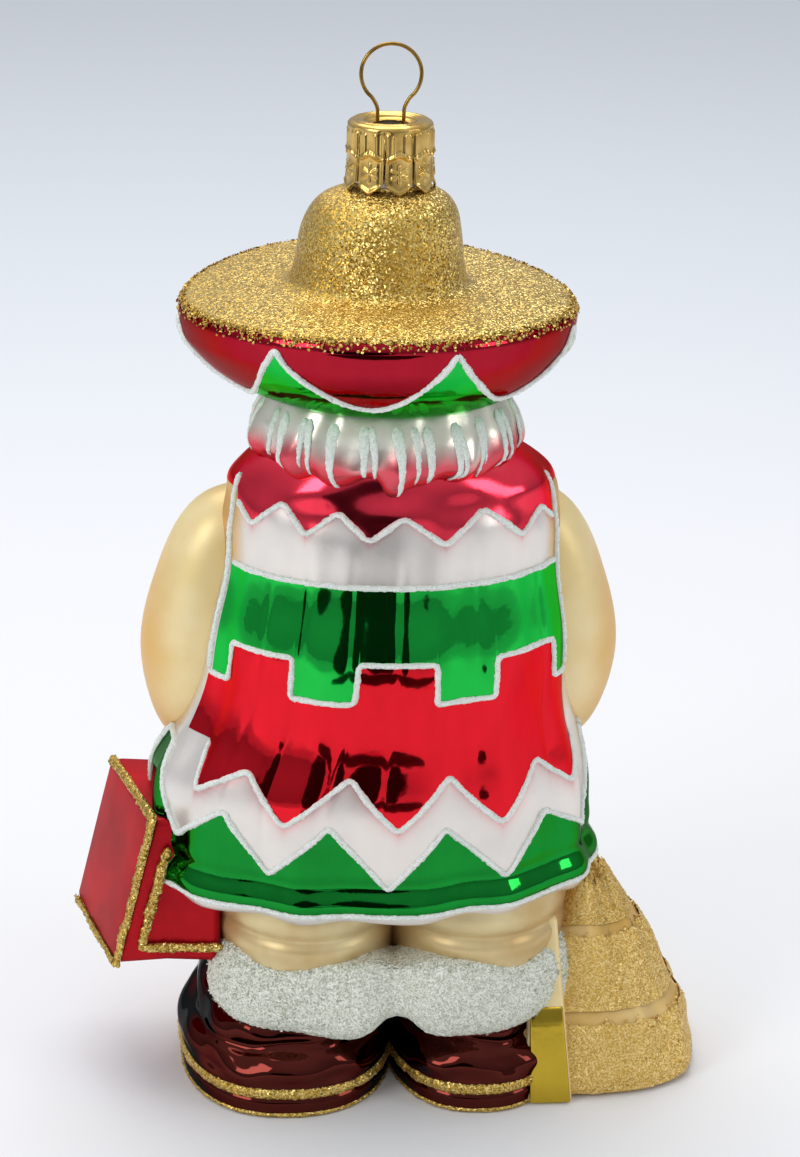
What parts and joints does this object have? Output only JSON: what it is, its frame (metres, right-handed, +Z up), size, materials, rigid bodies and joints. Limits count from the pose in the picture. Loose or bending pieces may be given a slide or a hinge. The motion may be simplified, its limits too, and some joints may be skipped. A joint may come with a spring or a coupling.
{
  "type": "santa figure ornament",
  "caption": "Hanging blown-glass Santa figure in a wide-brimmed hat and patterned poncho, with a gift box, a gold tiered tree, a pressed cap and a wire hanging loop.",
  "frame": {"origin": "on the ground plane, below the centre of the bounding box", "axes": "+Z up along the figure, -Y the way the face looks, +X the figure's left side, with the gift box"},
  "size_m": [0.0938, 0.0556, 0.15],
  "materials": {
    "pearl_glass": "silvered blown glass under satin pearl white lacquer",
    "red_lacquer": "clear red lacquer over silvering, mirror bright",
    "green_lacquer": "clear green lacquer over silvering, mirror bright",
    "satin_red_lacquer": "satin red lacquer",
    "brown_lacquer": "dark red brown lacquer over silvering, mirror bright",
    "olive_lacquer": "olive yellow lacquer over silvering, mirror bright",
    "skin_lacquer": "satin cream lacquer with an amber shade at the edges",
    "gold_glitter": "coarse gold glitter in glue",
    "white_glitter": "coarse white glitter with a coloured sparkle",
    "relief_paint": "raised white paint with fine glitter",
    "black_enamel": "black enamel",
    "cap_brass": "pressed gold-coloured sheet metal",
    "wire_brass": "drawn spring wire"
  },
  "bodies": {
    "glass_figure": {"arm_lacquer_left": "skin_lacquer", "arm_lacquer_right": "skin_lacquer", "block_lacquer": "olive_lacquer", "boot_lacquer_left": "brown_lacquer", "boot_lacquer_right": "brown_lacquer", "boot_piping_left": "gold_glitter", "boot_piping_right_back": "gold_glitter", "boot_piping_right_front": "gold_glitter", "collar_lacquer_back": "red_lacquer", "collar_lacquer_front_left": "red_lacquer", "collar_lacquer_front_right": "red_lacquer", "collar_line_back": "relief_paint", "collar_line_front_left": "relief_paint", "collar_line_front_right": "relief_paint", "cuff_glitter": "white_glitter", "eye_left": "black_enamel", "eye_right": "black_enamel", "eyebrow_left": "relief_paint", "eyebrow_right": "relief_paint", "face_lacquer": "skin_lacquer", "gift_edge_glitter": "gold_glitter", "gift_lacquer": "satin_red_lacquer", "gift_panel_line": "gold_glitter", "glass_shell": "pearl_glass", "green_band_lacquer_back": "green_lacquer", "green_band_lacquer_front": "green_lacquer", "hair_strand_1": "relief_paint", "hair_strand_2": "relief_paint", "hair_strand_3": "relief_paint", "hair_strand_4": "relief_paint", "hair_strand_5": "relief_paint", "hair_strand_6": "relief_paint", "hair_strand_7": "relief_paint", "hair_strand_8": "relief_paint", "hair_strand_9": "relief_paint", "hat_green_lacquer": "green_lacquer", "hat_red_lacquer": "red_lacquer", "hat_scallop_line": "relief_paint", "hat_top_glitter": "gold_glitter", "hem_lacquer": "green_lacquer", "hem_line": "relief_paint", "hem_zigzag_line": "relief_paint", "leg_lacquer_back": "skin_lacquer", "leg_lacquer_front": "skin_lacquer", "red_band_lacquer_back": "red_lacquer", "red_band_lacquer_front": "red_lacquer", "side_line_left_back": "relief_paint", "side_line_right_back": "relief_paint", "step_line_back": "relief_paint", "step_line_front": "relief_paint", "tree_glitter_bottom": "gold_glitter", "tree_glitter_middle": "gold_glitter", "tree_glitter_top": "gold_glitter", "yoke_line_back": "relief_paint", "yoke_line_front": "relief_paint", "zigzag_line_back": "relief_paint", "zigzag_line_front": "relief_paint"},
    "cap": {"crown_cap": "cap_brass"},
    "hanger": {"hanger_wire": "wire_brass"}
  },
  "joints": [
    {"name": "cap_lift", "type": "slide", "parent": "glass_figure", "child": "cap", "axis": [0, 0, 1], "range_m": [0, 0.02]},
    {"name": "hanger_turn", "type": "hinge", "parent": "cap", "child": "hanger", "pos_m": [0.00084, 0.00005, 0.1458], "axis": [0, 0, 1], "continuous": true}
  ]
}
